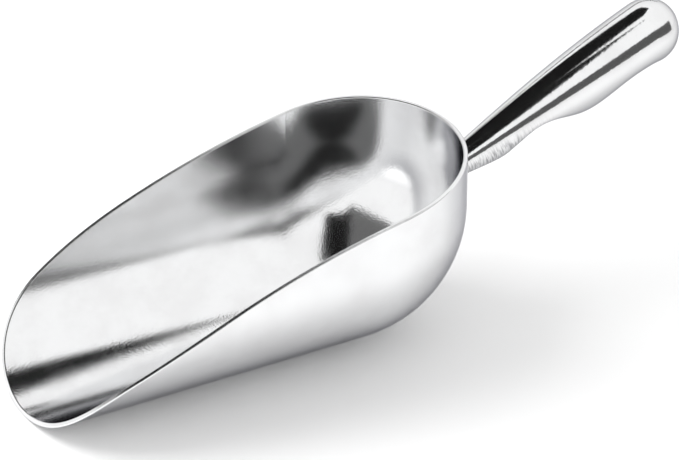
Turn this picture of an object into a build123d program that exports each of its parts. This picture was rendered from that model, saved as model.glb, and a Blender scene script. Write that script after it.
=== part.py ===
"""Ice scoop: a round-bottomed aluminium bowl with a hollow cast handle welded to its back wall.

Row frame, millimetres: +X runs from the pouring lip towards the handle, +Z is up, and Z = 0 is the
surface that the bowl rests on. X = 0 is half way along the whole scoop, and Y = 0 is its plane of symmetry.
The shapes are drawn with the lip's tip at X = 0, and everything is moved back at the end.
"""
from build123d import *
from math import cos, radians, sin
import os

# Bowl
bowl_radius = 54.0  # outside radius of the round bottom, and half the bowl's width
bowl_wall = 2.0
trough_length = 150.0  # straight part, from the lip to where the end wall starts to rise
end_arc_radius = 60.0  # the end wall's outline in side view, from the bottom up
rim_rounding = 0.5  # of the rim's two edges

# Rim in side view: a tight arc up from the lip, then a long flat one to the end wall
lip_angle = 65.0  # slope of the rim at the lip
shoulder = (32.0, 34.0)  # where the two arcs meet
rim_height = 85.0  # at the end wall
lip_margin = 20.0  # the tool that hollows the bowl reaches this far past the lip

# Handle
handle_tilt = 23.0  # rise of the handle's axis above the bowl's
handle_foot_height = 62.0  # the axis meets the end wall's outer face at this height
handle_length = 123.0  # from the end wall to the tip, along the axis
handle_wall = 1.5
tip_length = 15.0  # the rounded end
tip_fullness = 2.2  # exponent of the rounded end; 2 is an ellipse
tip_steps = 6  # sections along the rounded end
tip_last_angle = 85.0  # a full quarter turn would bring the last one down to a point
foot_half_width = 5.6
end_half_width = 13.8
# The grip's underside: distance along the axis from the end wall, and depth below the axis
buried_end = (-10.0, 7.0)  # inside the end wall, where the grip's blank is cut off
foot_neck = (8.0, 7.5)
foot_swell = (26.0, 10.0)
finger_hollow = (42.0, 6.0)
finger_hump = (64.0, 15.0)
palm_hollow = (88.0, 14.5)
butt = (handle_length - tip_length, 16.0)
grip_steps = 20  # sections from the buried end to the butt

weld_radius = 3.0  # of the fillet weld round the foot
foot_depth = 1.5  # the foot's outline lies this close to the end wall's rearmost point

bowl_height = 2 * bowl_radius  # of the blank, before the rim is cut
bowl_back = trough_length + end_arc_radius
plan_centre = bowl_back - bowl_radius  # centre of the bowl's round end, seen from above
axis_direction = (cos(radians(handle_tilt)), 0, sin(radians(handle_tilt)))
foot_plane = Plane(origin=(bowl_back, 0, handle_foot_height), x_dir=(0, 1, 0), z_dir=axis_direction)


def slope(angle):
    """A direction in side view, rising from +X by this angle."""
    return (cos(radians(angle)), sin(radians(angle)))


def bowl_blank(radius, front):
    """The bowl before its rim is cut, as a full solid of this radius reaching forward to X = front."""
    with BuildPart() as blank:
        with BuildSketch(Plane.YZ.offset(front)) as trough_section:
            with Locations((0, bowl_radius)):
                Circle(radius)
                Rectangle(2 * radius, bowl_radius, align=(Align.CENTER, Align.MIN))
        extrude(amount=trough_length - front)
        with BuildSketch(Plane.YZ.offset(trough_length)) as round_bottom:
            with Locations((0, bowl_radius)):
                Circle(radius)
                Rectangle(2 * radius, radius, align=(Align.CENTER, Align.MIN), mode=Mode.SUBTRACT)
        revolve(axis=Axis((trough_length, 0, end_arc_radius), (0, -1, 0)), revolution_arc=90)
        with BuildSketch(Plane.XZ) as side_corner:
            with Locations((trough_length, end_arc_radius)):
                Circle(end_arc_radius - bowl_radius)
        extrude(amount=radius, both=True)
        with BuildSketch(Plane.XY.offset(end_arc_radius)) as round_end:
            with Locations((plan_centre, 0)):
                Circle(radius)
            with Locations((trough_length, 0)):
                Rectangle(plan_centre - trough_length, 2 * radius, align=(Align.MIN, Align.CENTER))
        extrude(amount=bowl_height - end_arc_radius)
    return blank.part


def grip_blank(inset):
    """The grip as a full solid, set in by this much all round and at the tip."""
    landmarks = (buried_end, foot_neck, foot_swell, finger_hollow, finger_hump, palm_hollow, butt)
    underside = Spline(*landmarks, mode=Mode.PRIVATE)
    sections = []
    for step in range(grip_steps + 1):
        point = underside @ (step / grip_steps)
        along = max(0, point.X) / butt[0]
        half_width = foot_half_width + (end_half_width - foot_half_width) * sin(radians(90 * along))
        sections.append((point.X, half_width - inset, point.Y - inset))
    last_distance, last_width, last_depth = sections[-1]
    for step in range(1, tip_steps + 1):
        share = sin(radians(tip_last_angle * step / tip_steps))
        scale = (1 - share**tip_fullness) ** 0.5
        distance = last_distance + share * (tip_length - inset)
        sections.append((distance, scale * last_width, scale * last_depth))
    with BuildPart() as blank:
        for distance, half_width, depth in sections:
            with BuildSketch(foot_plane.offset(distance)) as grip_section:
                with BuildLine() as outline:
                    EllipticalCenterArc((0, 0), half_width, half_width, 0, arc_size=180)
                    EllipticalCenterArc((0, 0), half_width, depth, 180, arc_size=180)
                make_face()
        loft()
    return blank.part


full_bowl = bowl_blank(bowl_radius, 0)
full_grip = grip_blank(0)

with BuildPart() as bowl:
    add(full_bowl)
    add(bowl_blank(bowl_radius - bowl_wall, -lip_margin), mode=Mode.SUBTRACT)
    with BuildSketch(Plane.XZ.offset(-bowl_radius)) as above_rim:
        with BuildLine() as rim_outline:
            lip_arc = TangentArc((0, 0), shoulder, tangent=slope(lip_angle))
            rim = TangentArc(shoulder, (bowl_back, rim_height), tangent=lip_arc % 1)
            Polyline(rim @ 1, (bowl_back, bowl_height), (0, bowl_height), (0, 0))
        make_face()
    extrude(amount=2 * bowl_radius, mode=Mode.SUBTRACT)
    round_faces = bowl.faces().filter_by(GeomType.CYLINDER)
    rim_faces = round_faces.filter_by(lambda face: face.axis_of_rotation.is_parallel(Axis.Y))
    fillet(rim_faces.edges().filter_by(Axis.Y, reverse=True), rim_rounding)

with BuildPart() as solid_handle:
    add(full_grip)
    add(full_bowl, mode=Mode.SUBTRACT)

with BuildPart() as handle:
    add(solid_handle.part)
    add(grip_blank(handle_wall), mode=Mode.SUBTRACT)

# The weld is what a fillet between the bowl and the handle adds to the two of them.
with BuildPart() as handle_weld:
    add(full_bowl)
    add(solid_handle.part)
    foot_edges = handle_weld.edges().filter_by_position(Axis.X, bowl_back - foot_depth, bowl_back)
    fillet(foot_edges, weld_radius)
    add(full_bowl, mode=Mode.SUBTRACT)
    add(solid_handle.part, mode=Mode.SUBTRACT)

scoop_length = handle.part.bounding_box().max.X
to_row_frame = Location((-scoop_length / 2, 0, 0))
bowl.part.label = "bowl"
handle.part.label = "handle"
handle_weld.part.label = "handle_weld"
os.makedirs("parts", exist_ok=True)
for piece in (bowl, handle, handle_weld):
    export_step(piece.part.moved(to_row_frame), f"parts/{piece.part.label}.step")
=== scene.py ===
"""A polished cast-aluminium ice scoop on a white floor, in soft studio light."""
import math

import bpy
from mathutils import Matrix, Vector


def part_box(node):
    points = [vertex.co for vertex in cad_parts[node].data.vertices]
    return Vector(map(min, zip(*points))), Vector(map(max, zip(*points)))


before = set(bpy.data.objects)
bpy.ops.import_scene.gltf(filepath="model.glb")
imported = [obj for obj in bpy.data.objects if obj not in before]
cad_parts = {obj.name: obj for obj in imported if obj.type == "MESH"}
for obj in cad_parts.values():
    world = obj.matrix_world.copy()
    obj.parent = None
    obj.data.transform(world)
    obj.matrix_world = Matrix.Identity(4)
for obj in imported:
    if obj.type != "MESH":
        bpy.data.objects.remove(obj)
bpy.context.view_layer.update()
scene = bpy.context.scene
MM = 0.001

# Places on the scoop, in metres
bowl_low, bowl_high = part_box("bowl")
END_ARC_RADIUS = 60 * MM
TROUGH_END = bowl_high[0] - END_ARC_RADIUS  # the end wall's arc starts here
HANDLE_FOOT = (bowl_high[0], 0, 62 * MM)  # where the handle's axis leaves the bowl
HANDLE_TILT = 23  # degrees

# Camera: turned from +Y towards +X, and looking down, in degrees. It aims at a point on the scoop's plane
# of symmetry, and the shift moves the scoop within the frame.
CAMERA_TURN = 29
CAMERA_TILT = 31
CAMERA_DISTANCE = 1.73
CAMERA_TARGET = Vector((bowl_low[0] + 0.14, 0, 0.049))
CAMERA_SHIFT_RIGHT = 0.0125
CAMERA_SHIFT_UP = 0.001
CAMERA_CLIP_END = 100
SENSOR_MM = 36
LENS_MM = 212

ROOM_BRIGHTNESS = 1  # of the plain white room
FLOOR_SIZE = 12
FLOOR_GREY = 0.9
FLOOR_ROUGHNESS = 0.6

# Studio cards round the scoop, each facing its middle: name, bearing, elevation, width, height, brightness.
# Bearing 0 is +Y, behind the scoop, and 90 is +X; sizes are in metres. A card darker than the room is a flag,
# which gives polished metal its dark reflections, and a brighter one is a softbox.
CARD_DISTANCE = 0.7
CARD_AIM = Vector((0, 0, 50 * MM))
CARDS = (
    ("flag_behind", -40, 60, 0.8, 0.9, 0.01),
    ("flag_low", 0, 30, 1.6, 0.06, 0.05),
    ("flag_camera", -150, 55, 0.3, 0.6, 0.01),
    ("flag_front", 150, 12, 1.2, 0.35, 0.1),
    ("flag_left", -100, 50, 1.0, 0.5, 0.15),
    ("softbox_key", -50, 50, 0.5, 0.5, 5),
)

# Aluminium: colours, noise scales in cells per metre, and roughness that a worn or ground place adds
POLISHED = (0.92, 0.925, 0.93)
WORN = (0.87, 0.87, 0.875)
# Painted shade colour, for the handle's lower side
PAINTED_UNDERSIDE_SHADE = (0.6, 0.605, 0.61)
GROOVE = (0.4, 0.4, 0.41)
GRAZING_TINT = (0.4, 0.4, 0.42, 1)
DIMPLE_SCALE = 1300
BLOTCH_SCALE = 45
BLOTCH_ROUGHNESS = 0.6  # of the noise: how much its fine detail counts
WORN_FROM, WORN_TO = 0.35, 0.7  # range of the blotch noise over which the polish goes
WORN_DULLING = 0.04

# The upper walls of the trough are less polished than its floor, with a satin finish
SATIN_FROM, SATIN_TO = 18 * MM, 42 * MM  # heights over which the satin comes in
SATIN_FADE = 12 * MM  # half the length over which it ends, at the end of the trough
SATIN_DULLING = 0.12

# The foot of the handle is ground across on its lower side, and painted shade darkens the whole lower side of
# the handle
GRINDING_FADES, GRINDING_ENDS = 25 * MM, 55 * MM  # distances from the foot
GRINDING_EDGE = 3 * MM  # half the height over which it ends, at the handle's axis
GRINDING_DULLING = 0.12
STROKE_SCALE = (1400, 160, 160)  # along the axis, across it and up from it
STROKE_DEPTH = 0.06 * MM
GROOVE_FROM, GROOVE_TO = 0.4, 0.65  # range of the stroke noise over which a groove darkens
PAINTED_SHADE_DEPTH = 9 * MM  # below the axis, where the painted shade on the handle's lower side is at its darkest


class Nodes:
    """Short calls for building a node tree."""

    def __init__(self, owner):
        owner.use_nodes = True
        self.tree = owner.node_tree
        self.tree.nodes.clear()

    def add(self, kind, inputs=None, **settings):
        node = self.tree.nodes.new(kind)
        for name, value in settings.items():
            setattr(node, name, value)
        for name, value in (inputs or {}).items():
            if isinstance(value, bpy.types.NodeSocket):
                self.tree.links.new(value, node.inputs[name])
            else:
                node.inputs[name].default_value = value
        return node

    def math(self, operation, *values):
        return self.add("ShaderNodeMath", dict(enumerate(values)), operation=operation).outputs[0]

    def vector_math(self, operation, *values):
        return self.add("ShaderNodeVectorMath", dict(enumerate(values)), operation=operation).outputs[0]

    def noise(self, vector, scale, detail, roughness=0.5):
        inputs = {"Vector": vector, "Scale": scale, "Detail": detail, "Roughness": roughness}
        return self.add("ShaderNodeTexNoise", inputs).outputs["Fac"]

    def split(self, vector):
        return self.add("ShaderNodeSeparateXYZ", {0: vector}).outputs

    def ramp(self, value, start, end, low=0.0, high=1.0):
        node = self.add(
            "ShaderNodeMapRange",
            {"Value": value, "From Min": start, "From Max": end, "To Min": low, "To Max": high},
            interpolation_type="SMOOTHSTEP",
        )
        return node.outputs["Result"]

    def mix(self, factor, first, second):
        """Mix two colours. Each is a socket or three numbers, and the factor is a socket."""
        node = self.add("ShaderNodeMix", data_type="RGBA")
        for name, value in (("Factor_Float", factor), ("A_Color", first), ("B_Color", second)):
            socket = next(s for s in node.inputs if s.identifier == name)
            if isinstance(value, bpy.types.NodeSocket):
                self.tree.links.new(value, socket)
            else:
                socket.default_value = (*value, 1)
        return next(s for s in node.outputs if s.identifier == "Result_Color")


def grey(value):
    return (value, value, value, 1)


def build_camera():
    turn = math.radians(CAMERA_TURN)
    tilt = math.radians(CAMERA_TILT)
    back = Vector((-math.sin(turn) * math.cos(tilt), -math.cos(turn) * math.cos(tilt), math.sin(tilt)))
    right = Vector((math.cos(turn), -math.sin(turn), 0))
    up = back.cross(right)
    camera = bpy.data.objects.new("camera", bpy.data.cameras.new("camera"))
    scene.collection.objects.link(camera)
    camera.data.sensor_width = SENSOR_MM
    camera.data.lens = LENS_MM
    camera.data.clip_end = CAMERA_CLIP_END
    place = Matrix((right, up, back)).transposed().to_4x4()
    place.translation = (
        CAMERA_TARGET + CAMERA_DISTANCE * back + CAMERA_SHIFT_RIGHT * right + CAMERA_SHIFT_UP * up
    )
    camera.matrix_world = place
    scene.camera = camera


def build_world():
    world = bpy.data.worlds.new("white")
    scene.world = world
    n = Nodes(world)
    background = n.add("ShaderNodeBackground", {"Color": grey(ROOM_BRIGHTNESS)})
    n.add("ShaderNodeOutputWorld", {"Surface": background.outputs[0]})


def build_panel(name, width, height, material):
    """A flat panel of the studio, lying on the floor and centred on the origin."""
    x, y = width / 2, height / 2
    mesh = bpy.data.meshes.new(name)
    mesh.from_pydata([(-x, -y, 0), (x, -y, 0), (x, y, 0), (-x, y, 0)], [], [(0, 1, 2, 3)])
    mesh.materials.append(material)
    panel = bpy.data.objects.new(name, mesh)
    scene.collection.objects.link(panel)
    return panel


def build_card(name, bearing, elevation, width, height, brightness):
    material = bpy.data.materials.new(name)
    n = Nodes(material)
    glow = n.add("ShaderNodeEmission", {"Color": grey(brightness)})
    n.add("ShaderNodeOutputMaterial", {"Surface": glow.outputs[0]})
    card = build_panel(name, width, height, material)
    turn = math.radians(bearing)
    lift = math.radians(elevation)
    outward = Vector((math.sin(turn) * math.cos(lift), math.cos(turn) * math.cos(lift), math.sin(lift)))
    card.matrix_world = Matrix.LocRotScale(
        CARD_AIM + CARD_DISTANCE * outward, outward.to_track_quat("Z", "Y"), (1, 1, 1)
    )
    card.visible_camera = False
    if brightness < ROOM_BRIGHTNESS:
        # A flag darkens reflections only, not the floor.
        card.visible_diffuse = False
        card.visible_shadow = False
    else:
        # A softbox lights the floor only, so that the scoop's shadow falls away from it.
        card.visible_glossy = False


def build_floor():
    material = bpy.data.materials.new("white_floor")
    n = Nodes(material)
    shader = n.add(
        "ShaderNodeBsdfPrincipled", {"Base Color": grey(FLOOR_GREY), "Roughness": FLOOR_ROUGHNESS}
    )
    n.add("ShaderNodeOutputMaterial", {"Surface": shader.outputs[0]})
    build_panel("floor", FLOOR_SIZE, FLOOR_SIZE, material)


def dull_walls(n, place, finish):
    """Roughness of the bowl, with the upper walls of its trough less polished than the rest."""
    at = n.split(place)
    high = n.ramp(at["Z"], SATIN_FROM, SATIN_TO)
    straight = n.ramp(at["X"], TROUGH_END - SATIN_FADE, TROUGH_END + SATIN_FADE, 1, 0)
    return n.math("MULTIPLY_ADD", n.math("MULTIPLY", high, straight), SATIN_DULLING, finish)


def grind_foot_and_paint_underside_shade(n, place, height, finish, colour):
    """Height, roughness and colour of the handle, with its foot ground across and painted shade darkening its
    lower side.
    """
    from_foot = n.vector_math("SUBTRACT", place, HANDLE_FOOT)
    along_axis = n.add(
        "ShaderNodeVectorRotate",
        {"Vector": from_foot, "Angle": math.radians(HANDLE_TILT)},
        rotation_type="Y_AXIS",
    ).outputs[0]
    at = n.split(along_axis)
    near_foot = n.ramp(at["X"], GRINDING_FADES, GRINDING_ENDS, 1, 0)
    below_axis = n.ramp(at["Z"], -GRINDING_EDGE, GRINDING_EDGE, 1, 0)
    ground = n.math("MULTIPLY", near_foot, below_axis)
    stretched = n.vector_math("MULTIPLY", along_axis, STROKE_SCALE)
    strokes = n.noise(stretched, scale=1, detail=3)
    cut = n.math("MULTIPLY", n.math("MULTIPLY", strokes, STROKE_DEPTH), ground)
    height = n.math("ADD", height, cut)
    finish = n.math("MULTIPLY_ADD", ground, GRINDING_DULLING, finish)
    # Painted shade: the colour greys towards the handle's lower side, below its axis
    painted_underside_shade = n.ramp(at["Z"], -PAINTED_SHADE_DEPTH, 0, 1, 0)
    colour = n.mix(painted_underside_shade, colour, PAINTED_UNDERSIDE_SHADE)
    grooves = n.ramp(strokes, GROOVE_FROM, GROOVE_TO)
    colour = n.mix(n.math("MULTIPLY", grooves, ground), colour, GROOVE)
    return height, finish, colour


def aluminium(name, roughness, dimple_height, satin_walls=False, ground_foot_and_underside_shade=False):
    """Polished cast aluminium, finely dimpled, with its polish worn in blotches."""
    material = bpy.data.materials.new(name)
    n = Nodes(material)
    place = n.add("ShaderNodeTexCoord").outputs["Object"]
    height = n.math("MULTIPLY", n.noise(place, DIMPLE_SCALE, detail=2), dimple_height)
    blotches = n.noise(place, BLOTCH_SCALE, detail=4, roughness=BLOTCH_ROUGHNESS)
    worn = n.ramp(blotches, WORN_FROM, WORN_TO)
    finish = n.math("MULTIPLY_ADD", worn, WORN_DULLING, roughness)
    colour = n.mix(worn, POLISHED, WORN)
    if satin_walls:
        finish = dull_walls(n, place, finish)
    # On the handle this also paints shade on its lower side, as well as grinding the foot
    if ground_foot_and_underside_shade:
        height, finish, colour = grind_foot_and_paint_underside_shade(n, place, height, finish, colour)
    bump = n.add("ShaderNodeBump", {"Height": height, "Strength": 1, "Distance": 1})
    shader = n.add(
        "ShaderNodeBsdfPrincipled",
        {
            "Base Color": colour,
            "Metallic": 1,
            "Roughness": finish,
            "Specular Tint": GRAZING_TINT,
            "Normal": bump.outputs[0],
        },
    )
    n.add("ShaderNodeOutputMaterial", {"Surface": shader.outputs[0]})
    return material


def dress(node, material):
    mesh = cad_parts[node].data
    mesh.materials.clear()
    mesh.materials.append(material)


build_camera()
build_world()
for card_values in CARDS:
    build_card(*card_values)
build_floor()
dress("bowl", aluminium("bowl_aluminium", roughness=0.1, dimple_height=0.035 * MM, satin_walls=True))
dress("handle", aluminium("handle_aluminium", roughness=0.09, dimple_height=0.015 * MM, ground_foot_and_underside_shade=True))
dress("handle_weld", aluminium("weld_aluminium", roughness=0.25, dimple_height=0.03 * MM))
scene.view_settings.view_transform = "Standard"
